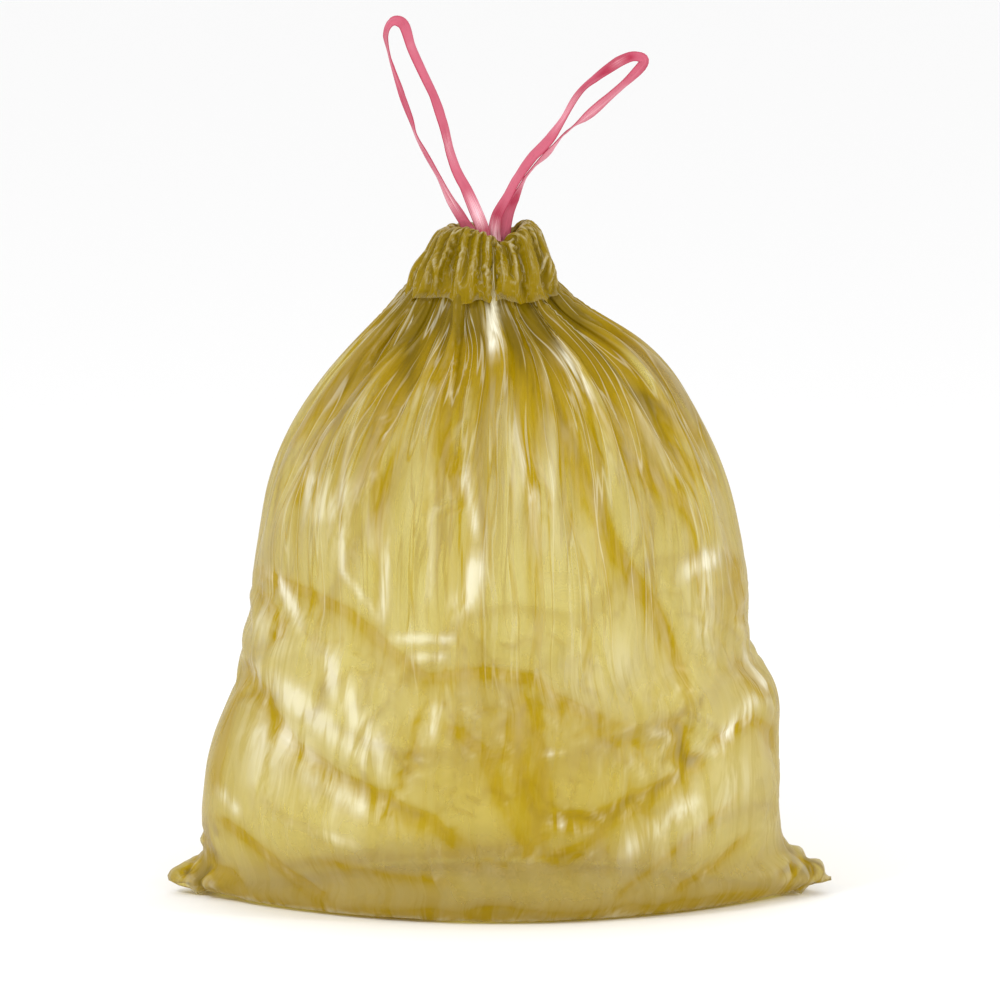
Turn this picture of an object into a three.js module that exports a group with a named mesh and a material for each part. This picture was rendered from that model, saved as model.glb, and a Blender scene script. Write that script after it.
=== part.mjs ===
// A filled drawstring rubbish bag standing on the floor, in millimetres, +Z up.
// The origin is on the floor under the middle of the bag, +X runs along the bottom weld towards
// the right-hand corner, and -Y faces the viewer.
//
// The bag is one welded film tube, 540 wide and 690 long when flat. Filled, it stands as a plump
// body on a flat underside. The ends of the bottom weld stick out as two pinched corner ears, and
// the hem is drawn together into a narrow collar. Two drawtapes come up out of the pocket in the
// collar, and each makes one tall carrying loop.
import * as THREE from "three";

// The flat underside
const footLeft = 196;
const footRight = 190;
const footDepth = 108;

// The corner ears at the ends of the bottom weld
const earLeft = 240;
const earRight = 240;
const earHeight = 11;
const earPinch = 2.1;
const bottomDepth = 125;

// The body, as its reach to each side at the heights where its outline turns
const heelHeight = 34;
const heelLeft = 214;
const heelRight = 208;
const heelDepth = 134;

const bellyHeight = 62;
const bellyLeft = 216;
const bellyRight = 202;
const bellyFront = 141;
const bellyBack = 135;

const loinHeight = 112;
const loinLeft = 206;
const loinRight = 200;

const bulgeHeight = 150;
const bulgeLeft = 192;
const bulgeRight = 200;
const bulgeDepth = 142;

const waistHeight = 184;
const waistLeft = 184;
const waistRight = 179;

const chestHeight = 240;
const chestLeft = 177;
const chestRight = 176;
const chestFront = 135;
const chestBack = 142;

const shoulderHeight = 296;
const shoulderLeft = 170;
const shoulderRight = 168;
const shoulderDepth = 134;

const slopeHeight = 342;
const slopeLeft = 152;
const slopeRight = 151;
const slopeDepth = 121;

const napeHeight = 378;
const napeLeft = 127;
const napeRight = 130;
const napeDepth = 101;

const throatHeight = 404;
const throatLeft = 104;
const throatRight = 103;
const throatDepth = 80;

// The collar, where the hem is gathered by the tapes
const collarHeight = 430;
const collarLeft = 79;
const collarRight = 60;
const collarDepth = 55;
const neckHeight = 450;
const neckLeft = 62;
const neckRight = 38;
const neckDepth = 41;
const hemTopHeight = 482;
const hemSwell = 11;
const hemRoll = 6.5;
const gatherCount = 11;
const gatherDepth = 2.4;

// The main folds, which run down from the neck between plump panels. Each is its place round the
// neck and round the body, in degrees from the left end past the viewer's side, the height where
// it has run out, and its depth.
const foldSpread = 6.5;
const foldFade = 120;
const mainFolds = [
  [2, 4, 235, 7],
  [38, 19, 265, 10],
  [48, 56, 350, 9],
  [60, 68, 250, 9],
  [78, 79, 235, 10],
  [94, 101, 255, 10],
  [116, 112, 215, 11],
  [130, 133, 190, 11],
  [146, 149, 255, 9],
  [160, 166, 225, 10],
  [181, 185, 245, 8],
  [199, 203, 265, 9],
  [217, 219, 215, 10],
  [236, 233, 285, 9],
  [255, 252, 225, 10],
  [272, 270, 265, 9],
  [291, 287, 210, 11],
  [309, 305, 275, 9],
  [327, 328, 235, 10],
  [345, 347, 285, 8],
];

// The creases where the contents' hard edges press on the film. Each is a line of [x, height]
// points from left to right, how deep the film falls in along it, and how far that reaches above
// and below the line.
const frontCreases = [
  [[[-179, 233], [-144, 215], [-104, 186], [-65, 166], [-22, 157], [29, 150], [86, 131], [137, 113]],
    9, 36, 14],
  [[[-144, 120], [-94, 84], [-50, 69], [-14, 47], [32, 29]], 7, 26, 13],
  [[[32, 29], [58, 40], [101, 69], [137, 98]], 7, 26, 13],
  [[[58, 339], [90, 274], [115, 193], [137, 110]], 7, 14, 14],
];
const backCreases = [
  [[[-168, 205], [-110, 122], [-30, 154], [52, 162], [120, 204], [172, 228]], 9, 36, 14],
  [[[-110, 118], [-98, 196], [-72, 270], [-46, 340]], 7, 14, 14],
  [[[-110, 112], [-70, 74], [-20, 46], [24, 30]], 7, 26, 13],
  [[[24, 30], [66, 62], [110, 84], [158, 130]], 7, 26, 13],
];

// The drawtapes, each folded along its length
const tapeWidth = 11;
const tapeThickness = 1.2;
const strandGap = 0.8;
const leftLoopX = [-20, -13];
const rightLoopX = [-3, 2];

// The pocket in the collar that the tapes come out of
const pocketDepth = 18;
const pocketClearance = 3;
const pocketPinch = 0.5;
const pocketDraft = 1.5;
const seatGap = 0.3;

// How finely the shapes are cut into facets
const filmSegments = 90;
const rowsPerStation = 3;
const tapeStep = 5;

const strandPitch = tapeThickness + strandGap;
const pocketFloor = hemTopHeight - pocketDepth;
const pocketLeft = tapeWidth / 2 - leftLoopX[0] + pocketClearance;
const pocketRight = tapeWidth / 2 + rightLoopX[1] + pocketClearance;
const pocketReach = 2 * strandPitch + pocketClearance;

// One level of the bag: its height, its reach to the left, right, front and back of the axis, and
// how sharply its left and right ends are pinched, where 1 is a plain oval and less is squarer.
function station(height, left, right, front, back, pinch = 1) {
  return { height, left, right, front, back, pinch };
}

// A level of the hem's mouth, a given distance outside the pocket's wall.
function mouthStation(height, outside) {
  const reach = pocketReach + outside;
  return station(height, pocketLeft + outside, pocketRight + outside, reach, reach, pocketPinch);
}

// The levels from the middle of the underside, up the outside and down into the pocket.
function bagStations() {
  const underside = 0;
  const earTop = (earHeight + heelHeight) / 2;
  const hemOuter = pocketDraft + hemRoll;
  return [
    station(underside, 0, 0, 0, 0),
    station(underside, footLeft / 2, footRight / 2, footDepth / 2, footDepth / 2),
    station(underside, footLeft, footRight, footDepth, footDepth, 1.2),
    station(earHeight / 4, earLeft - 5, earRight - 6, bottomDepth - 4, bottomDepth - 4, earPinch),
    station(earHeight, earLeft, earRight, bottomDepth, bottomDepth, earPinch),
    station(earTop, heelLeft + 9, heelRight + 23, heelDepth - 4, heelDepth - 5, (1 + earPinch) / 2),
    station(heelHeight, heelLeft, heelRight, heelDepth, heelDepth - 2, 1.15),
    station(bellyHeight, bellyLeft, bellyRight, bellyFront, bellyBack),
    station(loinHeight, loinLeft, loinRight, bulgeDepth, bellyBack),
    station(bulgeHeight, bulgeLeft, bulgeRight, bulgeDepth, bulgeDepth - 4),
    station(waistHeight, waistLeft, waistRight, bulgeDepth - 3, bulgeDepth - 1),
    station(chestHeight, chestLeft, chestRight, chestFront, chestBack),
    station(shoulderHeight, shoulderLeft, shoulderRight, shoulderDepth, shoulderDepth),
    station(slopeHeight, slopeLeft, slopeRight, slopeDepth, slopeDepth),
    station(napeHeight, napeLeft, napeRight, napeDepth, napeDepth),
    station(throatHeight, throatLeft, throatRight, throatDepth, throatDepth),
    station(collarHeight, collarLeft, collarRight, collarDepth, collarDepth),
    station(neckHeight, neckLeft, neckRight, neckDepth, neckDepth),
    mouthStation((neckHeight + hemTopHeight) / 2, hemOuter + hemSwell),
    mouthStation(hemTopHeight - hemRoll, hemOuter + hemRoll),
    mouthStation(hemTopHeight, hemOuter),
    mouthStation(hemTopHeight - hemRoll, pocketDraft),
    mouthStation(pocketFloor, 0),
    station(pocketFloor, 0, 0, 0, 0, pocketPinch),
  ];
}

// How much of the gathering shows at each height: none below the shoulder, all of it at the neck.
function gathering(height) {
  const rise = THREE.MathUtils.smoothstep(height, shoulderHeight, neckHeight);
  const roll = THREE.MathUtils.smoothstep(height, neckHeight, hemTopHeight);
  return rise * (1 - roll);
}

// How deep the main folds are at a place round the bag, in degrees, and a height.
function foldDepth(turn, height) {
  const towardsNeck = THREE.MathUtils.smoothstep(height, slopeHeight, neckHeight);
  const shallower = 1 - 0.7 * THREE.MathUtils.smoothstep(height, throatHeight, neckHeight);
  const hidden = 1 - THREE.MathUtils.smoothstep(height, neckHeight, pocketFloor);
  let deep = 0;
  for (const [neckTurn, bodyTurn, endHeight, depth] of mainFolds) {
    const place = THREE.MathUtils.lerp(bodyTurn, neckTurn, towardsNeck);
    const gap = THREE.MathUtils.euclideanModulo(turn - place + 180, 360) - 180;
    const shown = THREE.MathUtils.smoothstep(height, endHeight, endHeight + foldFade);
    deep += depth * shown * Math.exp(-((gap / foldSpread) ** 2));
  }
  return deep * shallower * hidden;
}

// How deep the creases are at a place on the viewer's side or the far side.
function creaseDepth(x, y, height) {
  const place = new THREE.Vector3(x, 0, height);
  const nearest = new THREE.Vector3();
  const facing = THREE.MathUtils.smoothstep(Math.abs(y), 0, bellyBack / 2);
  let deep = 0;
  for (const [points, depth, above, below] of y < 0 ? frontCreases : backCreases) {
    let best = Infinity;
    let side = 0;
    let along = 0;
    for (let i = 1; i < points.length; i++) {
      const leg = new THREE.Line3(
        new THREE.Vector3(points[i - 1][0], 0, points[i - 1][1]),
        new THREE.Vector3(points[i][0], 0, points[i][1]));
      leg.closestPointToPoint(place, true, nearest);
      const gap = place.distanceTo(nearest);
      if (gap < best) {
        const run = leg.delta(new THREE.Vector3());
        best = gap;
        side = Math.sign(run.x * (height - nearest.z) - run.z * (x - nearest.x));
        along = (i - 1 + leg.closestPointToPointParameter(place, true)) / (points.length - 1);
      }
    }
    const ends = Math.min(1, 0.3 + 5 * Math.min(along, 1 - along));
    deep += depth * ends * Math.exp(-best / (side > 0 ? above : below));
  }
  return deep * facing;
}

// A ball's surface, moved so that its bottom pole is the middle of the underside, its rows follow
// the stations, and its top pole is the middle of the pocket's floor.
function filmGeometry() {
  const levels = bagStations();
  const sides = new THREE.CatmullRomCurve3(
    levels.map((s) => new THREE.Vector3(s.left, s.right, s.height)), false, "catmullrom", 0.5);
  const depths = new THREE.CatmullRomCurve3(
    levels.map((s) => new THREE.Vector3(s.front, s.back, s.pinch)), false, "catmullrom", 0.5);
  const rows = rowsPerStation * (levels.length - 1);
  const flankStart = levels.findIndex((level) => level.height === heelHeight) / (levels.length - 1);
  const geometry = new THREE.SphereGeometry(1, filmSegments, rows);
  const position = geometry.attributes.position;
  const point = new THREE.Vector3();
  for (let i = 0; i < position.count; i++) {
    const row = Math.floor(i / (filmSegments + 1));
    const along = (rows - row) / rows;
    const around = (2 * Math.PI * (i % (filmSegments + 1) % filmSegments)) / filmSegments;
    const side = sides.getPoint(along);
    const depth = depths.getPoint(along);
    const across = -Math.cos(around);
    const away = -Math.sin(around);
    const fullX = across < 0 ? side.x : side.y;
    const fullY = away < 0 ? depth.x : depth.y;
    const gather = gatherDepth * gathering(side.z) * Math.cos(gatherCount * around);
    const sunk = along > flankStart
      ? foldDepth(THREE.MathUtils.radToDeg(around), side.z)
        + creaseDepth(across * fullX, away * fullY, side.z)
      : 0;
    const reachX = fullX + gather - sunk;
    const reachY = fullY + gather - sunk;
    const onAxis = row === 0 || row === rows;
    point.set(
      onAxis ? 0 : across * reachX,
      onAxis ? 0 : Math.sign(away) * Math.abs(away) ** depth.z * reachY,
      Math.max(side.z, 0));
    position.setXYZ(i, point.x, point.y, point.z);
  }
  return geometry;
}

// A flat tape bent along a route. Each point of the route is [x, y, height above the hem's top,
// turn], where turn is how far the tape's face is turned towards the viewer, in degrees.
function tapeGeometry(route) {
  const line = new THREE.CatmullRomCurve3(
    route.map(([x, y, above]) => new THREE.Vector3(x, y, hemTopHeight + above)),
    false, "catmullrom");
  const turns = new THREE.CatmullRomCurve3(
    route.map(([, , , turn]) => new THREE.Vector3(turn, 0, 0)), false, "catmullrom");
  const steps = Math.round(line.getLength() / tapeStep);
  const geometry = new THREE.BoxGeometry(tapeWidth, tapeThickness, 1, 2, 1, steps);
  const position = geometry.attributes.position;
  const flatSide = new THREE.Vector3(0, 1, 0);
  for (let i = 0; i < position.count; i++) {
    const along = Math.min(Math.max(position.getZ(i) + 0.5, 0), 1);
    const tangent = line.getTangent(along);
    const inPlane = tangent.clone().cross(flatSide).normalize();
    const acrossPlane = inPlane.clone().cross(tangent).normalize();
    const turn = THREE.MathUtils.degToRad(turns.getPoint(along).x);
    const widthWay = acrossPlane.clone().multiplyScalar(Math.cos(turn))
      .addScaledVector(inPlane, Math.sin(turn));
    const thickWay = tangent.clone().cross(widthWay);
    const place = line.getPoint(along)
      .addScaledVector(widthWay, position.getX(i))
      .addScaledVector(thickWay, position.getY(i));
    position.setXYZ(i, place.x, place.y, place.z);
  }
  return geometry;
}

// The route of a loop from the pocket's floor up, over the top and back down beside its start.
function loopRoute([firstX, lastX], firstY, middle) {
  const lastY = firstY + strandPitch;
  const seated = seatGap - pocketDepth;
  return [
    [firstX, firstY, seated, 90],
    [firstX, firstY, seated / 2, 90],
    [firstX - 1, firstY, 0, 86],
    ...middle,
    [lastX + 1, lastY, 0, 86],
    [lastX, lastY, seated / 2, 90],
    [lastX, lastY, seated, 90],
  ];
}

const leftRoute = loopRoute(leftLoopX, -1.5 * strandPitch, [
  [-26, -4, 9, 70],
  [-35, -5, 25, 45],
  [-44, -5, 42, 24],
  [-53, -4, 58, 26],
  [-60, -3, 71, 12],
  [-64, -3, 84, 24],
  [-70, -2, 101, 30],
  [-78, -1, 124, 10],
  [-81, 0, 144, 20],
  [-77, 1, 153, 40],
  [-69, 2, 150, 45],
  [-63, 2, 133, 42],
  [-54, 2, 113, 46],
  [-47, 2, 97, 44],
  [-41, 1, 79, 42],
  [-37, 1, 61, 42],
  [-30, 0, 43, 46],
  [-24, 0, 31, 52],
  [-15, -1, 10, 72],
]);

const rightRoute = loopRoute(rightLoopX, 0.5 * strandPitch, [
  [-2, 1, 12, 64],
  [5, 0, 26, 46],
  [12, 0, 40, 38],
  [22, -1, 54, 44],
  [33, -1, 66, 46],
  [44, -1, 81, 26],
  [53, 0, 95, 30],
  [63, 1, 107, 20],
  [80, 2, 119, 44],
  [95, 3, 127, 50],
  [103, 4, 124, 50],
  [94, 4, 112, 44],
  [80, 5, 99, 40],
  [66, 5, 87, 44],
  [53, 5, 77, 10],
  [44, 5, 69, 10],
  [35, 5, 58, 34],
  [24, 4, 47, 12],
  [15, 4, 34, 20],
  [7, 4, 18, 56],
]);

function named(name, geometry, material) {
  const mesh = new THREE.Mesh(geometry, material);
  mesh.name = name;
  return mesh;
}

const filmMaterial = new THREE.MeshStandardMaterial({
  color: 0xcdb34e, roughness: 0.35, metalness: 0, transparent: true, opacity: 0.85 });
const tapeMaterial = new THREE.MeshStandardMaterial({
  color: 0xd4566c, roughness: 0.4, metalness: 0 });

const garbageBag = new THREE.Group();
garbageBag.add(named("bag_film", filmGeometry(), filmMaterial));
garbageBag.add(named("drawtape_left", tapeGeometry(leftRoute), tapeMaterial));
garbageBag.add(named("drawtape_right", tapeGeometry(rightRoute), tapeMaterial.clone()));

export default garbageBag;
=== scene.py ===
"""The looks of a filled drawstring garbage bag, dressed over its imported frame.

The film is one flat sheet, folded round, welded up its side and along its bottom, and gathered at
the neck. It finds its own folds by relaxing: each cell keeps its flat size, while the sheet stays
inside a thin shell at the fill. The hem is gathered in the same way, and the two drawtapes are
flattened tubes of film swept along their routes.
"""
import math
import bmesh
import bpy
import numpy as np
from bpy.props import FloatProperty, FloatVectorProperty, IntProperty, PointerProperty
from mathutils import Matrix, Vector
from mathutils.bvhtree import BVHTree


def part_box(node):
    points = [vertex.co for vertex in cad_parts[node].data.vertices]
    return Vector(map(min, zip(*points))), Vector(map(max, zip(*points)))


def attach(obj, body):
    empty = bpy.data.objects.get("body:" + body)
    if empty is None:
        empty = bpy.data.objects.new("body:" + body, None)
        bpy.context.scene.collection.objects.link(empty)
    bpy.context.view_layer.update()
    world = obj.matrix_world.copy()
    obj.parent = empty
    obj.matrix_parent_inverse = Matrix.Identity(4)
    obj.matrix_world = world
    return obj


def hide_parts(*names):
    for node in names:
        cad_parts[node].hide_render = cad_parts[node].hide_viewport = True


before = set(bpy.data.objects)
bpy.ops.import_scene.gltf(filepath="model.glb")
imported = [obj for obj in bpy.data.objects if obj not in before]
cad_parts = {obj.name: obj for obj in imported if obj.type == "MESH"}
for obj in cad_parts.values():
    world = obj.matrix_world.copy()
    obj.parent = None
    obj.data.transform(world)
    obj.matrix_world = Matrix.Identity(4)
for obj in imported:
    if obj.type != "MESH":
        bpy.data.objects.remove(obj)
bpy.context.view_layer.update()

bl_info = {
    "name": "Drawstring Garbage Bag",
    "version": (1, 0, 0),
    "blender": (4, 5, 0),
    "location": "3D View > Sidebar > Garbage Bag",
    "description": "Dresses the frame of a filled drawstring garbage bag with film, hem and tapes",
    "category": "Add Mesh",
}

FILM_LOW, FILM_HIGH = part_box("bag_film")
HEM_TOP = FILM_HIGH.z
MILLIMETRE = 0.001
FLOOR_GAP = 0.0005
CAMERA_TILT = math.radians(9)

# The folds that the photograph's side shows, as lines of (x, height) seen from the camera in
# millimetres, then their width, how many more layers of film they hold and how deep they lie
FRONT_FOLDS = [
    ([(-45, 418), (-95, 385), (-141, 344), (-153, 321)], 9, 1.6, 2),
    ([(-50, 432), (-59, 411), (-73, 355)], 8, 2.2, 3),
    ([(-86, 358), (-71, 354)], 3, 1.6, 1),
    ([(-40, 418), (-40, 358), (-36, 312), (-27, 280)], 2.5, 1.2, 2),
    ([(-78, 371), (-84, 349), (-86, 326), (-89, 280), (-89, 234)], 2.5, 1, 2),
    ([(-13, 435), (-17, 422), (-31, 395)], 6, 2.6, 2),
    ([(1, 429), (15, 390), (24, 367), (35, 306)], 2.5, 1.3, 2),
    ([(14, 429), (19, 406), (42, 358), (61, 307), (84, 250), (113, 208), (130, 168), (143, 116)],
     4.5, 1.7, 3),
    ([(26, 432), (33, 411), (65, 358), (88, 326), (123, 291), (157, 257)], 4, 1.4, 3),
    ([(40, 436), (61, 404), (88, 376), (123, 349), (155, 321)], 6.5, 2.3, 3),
    ([(72, 378), (100, 358), (134, 316), (157, 291)], 4, 1.2, 2),
    ([(-22, 429), (-27, 386), (-37, 342), (-43, 306)], 2, 0.8, 1.5),
    ([(-107, 378), (-123, 335), (-141, 299), (-147, 277)], 4, 0.9, 1.5),
    ([(-177, 236), (-165, 231), (-108, 206), (-77, 178), (-52, 159), (-10, 164), (26, 158),
      (41, 144), (79, 127), (128, 114)], 5, 1.2, 2),
    ([(-180, 164), (-171, 148), (-151, 114), (-118, 90), (-86, 74), (-52, 57), (-10, 33)],
     6, 1.3, 3),
    ([(-183, 155), (-192, 130), (-200, 90), (-202, 68)], 5, 1, 0),
    ([(-198, 55), (-175, 38), (-144, 12), (-118, -7)], 3, 1.5, 2),
    ([(-128, 27), (-77, 17), (-27, 12)], 6, 0.8, 2),
    ([(-72, 79), (-61, 111), (-62, 141)], 3, 0.5, 2),
    ([(-35, 124), (-5, 102), (13, 104)], 2.5, 1, 2),
    ([(-10, 101), (13, 49), (28, 25)], 3, 0.8, 2),
    ([(19, 141), (14, 124), (16, 90), (28, 57), (31, 32)], 5, 1.4, 1.5),
    ([(27, 141), (27, 116), (34, 74), (34, 32)], 4, 1.1, 1),
    ([(36, 60), (66, 59), (95, 72), (128, 89), (143, 97)], 5, 1.5, 3),
    ([(36, 32), (61, 40), (79, 54), (115, 74)], 4, 0.8, 2),
    ([(128, 124), (132, 104), (138, 97), (145, 104)], 3, 2.6, 4),
    ([(86, 3), (137, 44), (175, 77)], 2.5, 0.8, 2),
    ([(128, 7), (153, 23), (183, 49)], 3, 1, 2),
    ([(175, 166), (197, 144)], 4, 1.8, 2),
    ([(157, 115), (182, 129), (196, 120), (200, 97)], 4, 1.2, 3),
    ([(170, 241), (172, 216), (173, 186)], 5, 1, 0),
    ([(-174, 220), (-157, 198), (-156, 188), (-167, 187)], 3, 1.2, 2),
    ([(-213, 19), (-193, 17), (-182, -4)], 4, 1.2, 2),
    ([(-193, -7), (-144, -12), (-86, -14), (-14, -11)], 7, 1.5, 0),
    ([(-14, -7), (43, -14), (130, -7), (202, 4)], 6, 1.2, 0),
]

# Painted highlights, where the film catches the light: lines as above, their width and their strength
FRONT_PAINTED_HIGHLIGHTS = [
    ([(-172, 164), (-130, 129), (-78, 89)], 9, 0.8),
    ([(-131, 184), (-108, 141), (-81, 94)], 8, 0.9),
    ([(-17, 244), (-22, 220), (-31, 203)], 7, 1),
    ([(-77, 186), (-32, 186)], 3, 0.9),
    ([(-62, 173), (-39, 173)], 3, 0.8),
    ([(-165, 233), (-151, 213), (-141, 191)], 4, 0.8),
    ([(-161, 59), (-102, 38)], 4, 0.7),
    ([(-144, 90), (-118, 74), (-77, 55)], 9, 0.6),
    ([(-172, 126), (-166, 76)], 14, 0.5),
    ([(86, 30), (113, 52), (147, 74)], 8, 0.8),
    ([(153, 102), (178, 137), (187, 144)], 6, 0.7),
    ([(32, 105), (44, 105)], 1.5, 0.9),
    ([(36, 55), (64, 47)], 2, 0.7),
    ([(-114, 284), (-112, 234), (-86, 198)], 2, 0.9),
    ([(-27, 310), (-17, 257)], 2.5, 0.8),
    ([(40, 399), (65, 358)], 4, 0.9),
    ([(156, 247), (132, 230)], 7, 1),
    ([(8, 358), (19, 303), (26, 280)], 6, 0.5),
    ([(-133, 306), (-123, 268)], 12, 0.6),
    ([(-81, 256), (-84, 199)], 3, 0.9),
    ([(-50, 275), (-50, 211)], 2.5, 0.6),
    ([(144, 241), (144, 184)], 8, 0.5),
    ([(177, 178), (195, 149)], 3, 0.8),
    ([(-7, 429), (-3, 386)], 5, 0.7),
    ([(-43, 141), (-49, 115)], 4, 0.7),
    ([(-199, 76), (-187, 60)], 4, 0.8),
    ([(-160, 130), (-150, 80), (-110, 55)], 24, 0.42),
    ([(95, 36), (150, 66), (178, 100)], 20, 0.36),
    ([(40, 150), (100, 175)], 22, 0.25),
    ([(-120, 300), (-100, 240)], 20, 0.25),
    ([(10, 320), (40, 240)], 18, 0.22),
    ([(-175, 205), (-150, 170)], 10, 0.35),
]

# The drawtapes' routes, as in the part: x, y and height above the hem's top in millimetres, and
# how far the tape's face turns towards the viewer, in degrees
LEFT_ROUTE = [
    (-20, -3, -17.7, 90), (-20, -3, -8.9, 90), (-21, -3, 0, 86),
    (-26, -4, 9, 70), (-35, -5, 25, 45), (-44, -5, 42, 24), (-53, -4, 58, 26), (-60, -3, 71, 12),
    (-64, -3, 84, 24), (-70, -2, 101, 30), (-78, -1, 124, 10), (-81, 0, 144, 20),
    (-77, 1, 153, 40), (-69, 2, 150, 45), (-63, 2, 133, 42), (-54, 2, 113, 46),
    (-47, 2, 97, 44), (-41, 1, 79, 42), (-37, 1, 61, 42), (-30, 0, 43, 46), (-24, 0, 31, 52),
    (-15, -1, 10, 72), (-12, -1, 0, 86), (-13, -1, -8.9, 90), (-13, -1, -17.7, 90),
]
RIGHT_ROUTE = [
    (-3, 1, -17.7, 90), (-3, 1, -8.9, 90), (-4, 1, 0, 86),
    (-2, 1, 12, 64), (5, 0, 26, 46), (12, 0, 40, 38), (22, -1, 54, 44), (33, -1, 66, 46),
    (44, -1, 81, 26), (53, 0, 95, 30), (63, 1, 107, 20), (80, 2, 119, 44), (95, 3, 127, 50),
    (103, 4, 124, 50), (94, 4, 112, 44), (80, 5, 99, 40), (66, 5, 87, 44), (53, 5, 77, 10),
    (44, 5, 69, 10), (35, 5, 58, 34), (24, 4, 47, 12), (15, 4, 34, 20), (7, 4, 18, 56),
    (3, 3, 0, 86), (2, 3, -8.9, 90), (2, 3, -17.7, 90),
]


class FilmSettings(bpy.types.PropertyGroup):
    """The film bag: what it was cut to and how it is coloured"""

    flat_width: FloatProperty(
        name="Flat width", description="Width of the empty bag laid flat",
        default=0.54, unit="LENGTH")
    flat_length: FloatProperty(
        name="Flat length", description="Length of the empty bag, from its weld to its hem",
        default=0.69, unit="LENGTH")
    around: IntProperty(
        name="Around", description="Cells round the finished film", default=352)
    along: IntProperty(
        name="Along", description="Cells from the weld to the neck of the finished film",
        default=224)
    gather: FloatProperty(
        name="Gather", description="Share of spare film round the neck", default=0.28)
    rumple: FloatProperty(
        name="Rumple", description="Share of spare film up the crumpled lower part", default=0.045)
    seed: IntProperty(
        name="Seed", description="Picks where the small folds fall", default=7)
    tint: FloatVectorProperty(
        name="Tint", description="What one layer of film lets through", subtype="COLOR",
        default=(0.87, 0.81, 0.42))
    pale: FloatVectorProperty(
        name="Pale", description="What a single layer scatters back", subtype="COLOR",
        default=(0.50, 0.42, 0.20))
    deep: FloatVectorProperty(
        name="Deep", description="What many layers scatter back", subtype="COLOR",
        default=(0.38, 0.255, 0.002))
    # Partly painted shade: mixed in where many layers bunch, as in the gathered neck
    dark: FloatVectorProperty(
        name="Dark", description="What the gathered neck scatters back", subtype="COLOR",
        default=(0.19, 0.125, 0.001))
    # The colour of the painted highlights, where the film catches the light
    bright: FloatVectorProperty(
        name="Bright", description="What stretched film scatters back", subtype="COLOR",
        default=(0.86, 0.83, 0.66))
    cover: FloatProperty(
        name="Cover", description="Share of the light that one layer scatters", default=0.22)
    roughness: FloatProperty(
        name="Roughness", description="How blurred the film's shine is", default=0.28)


class HemSettings(bpy.types.PropertyGroup):
    """The folded hem that is drawn together round the tapes"""

    depth: FloatProperty(
        name="Depth", description="Height of the gathered hem", default=0.044, unit="LENGTH")
    around: IntProperty(name="Around", description="Cells round the hem", default=288)
    along: IntProperty(name="Along", description="Cells over the hem's roll", default=48)
    gather: FloatProperty(
        name="Gather", description="Share of spare film round the hem", default=0.4)


class TapeSettings(bpy.types.PropertyGroup):
    """The two drawtapes, each a film tape folded along its length"""

    width: FloatProperty(
        name="Width", description="Width of the folded tape", default=0.0098, unit="LENGTH")
    thickness: FloatProperty(
        name="Thickness", description="Thickness of the folded tape", default=0.0011,
        unit="LENGTH")
    tint: FloatVectorProperty(
        name="Tint", description="What one layer of tape lets through", subtype="COLOR",
        default=(0.90, 0.42, 0.52))
    pale: FloatVectorProperty(
        name="Pale", description="What a single layer scatters back", subtype="COLOR",
        default=(0.62, 0.15, 0.22))
    deep: FloatVectorProperty(
        name="Deep", description="What many layers scatter back", subtype="COLOR",
        default=(0.40, 0.03, 0.07))
    # Partly painted shade: mixed in where the tape's layers bunch
    dark: FloatVectorProperty(
        name="Dark", description="What the tape scatters back where it is bunched",
        subtype="COLOR", default=(0.25, 0.02, 0.04))
    # The colour of the painted highlights on the tape
    bright: FloatVectorProperty(
        name="Bright", description="What stretched tape scatters back", subtype="COLOR",
        default=(0.95, 0.60, 0.66))
    cover: FloatProperty(
        name="Cover", description="Share of the light that one layer scatters", default=0.6)
    roughness: FloatProperty(
        name="Roughness", description="How blurred the tape's shine is", default=0.32)


class StageSettings(bpy.types.PropertyGroup):
    """The floor, the lights and the camera"""

    elevation: FloatProperty(
        name="Elevation", description="How far the camera looks down",
        default=CAMERA_TILT, subtype="ANGLE")
    distance: FloatProperty(
        name="Distance", description="From the camera to the bag's axis", default=8.0,
        unit="LENGTH")
    view_height: FloatProperty(
        name="View height", description="Height in the middle of the picture",
        default=0.2882, unit="LENGTH")
    view_width: FloatProperty(
        name="View width", description="What the picture takes in at the bag's axis",
        default=0.7207, unit="LENGTH")


def smooth(low, high, value):
    """0 below low, 1 above high and an even rise between them."""
    share = min(max((value - low) / (high - low), 0.0), 1.0)
    return share * share * (3 - 2 * share)


def new_object(name, bm):
    """A finished mesh as an object at the origin, shaded smooth."""
    mesh = bpy.data.meshes.new(name)
    bm.to_mesh(mesh)
    bm.free()
    mesh.shade_smooth()
    obj = bpy.data.objects.new(name, mesh)
    bpy.context.scene.collection.objects.link(obj)
    return obj


def rise_between(low, high, values):
    """smooth, for a whole array of values."""
    share = np.clip((values - low) / (high - low), 0, 1)
    return share * share * (3 - 2 * share)


# The film's target surface

def frame_tree():
    """The frame's bag as a tree that rays can be cast at."""
    bm = bmesh.new()
    bm.from_mesh(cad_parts["bag_film"].data)
    tree = BVHTree.FromBMesh(bm)
    bm.free()
    return tree


def resample(points, count):
    """count + 1 points at equal steps along a line of points."""
    reach = [0.0]
    for before, after in zip(points, points[1:]):
        reach.append(reach[-1] + (after - before).length)
    placed = []
    leg = 0
    for step in range(count + 1):
        goal = reach[-1] * step / count
        while leg < len(points) - 2 and reach[leg + 1] < goal:
            leg += 1
        span = max(reach[leg + 1] - reach[leg], 1e-9)
        share = min(max((goal - reach[leg]) / span, 0.0), 1.0)
        placed.append(points[leg].lerp(points[leg + 1], share))
    return placed


RAYS = 240  # cast round each half of an outline
OUTSIDE = 0.6  # how far out, in metres, the rays start


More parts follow.
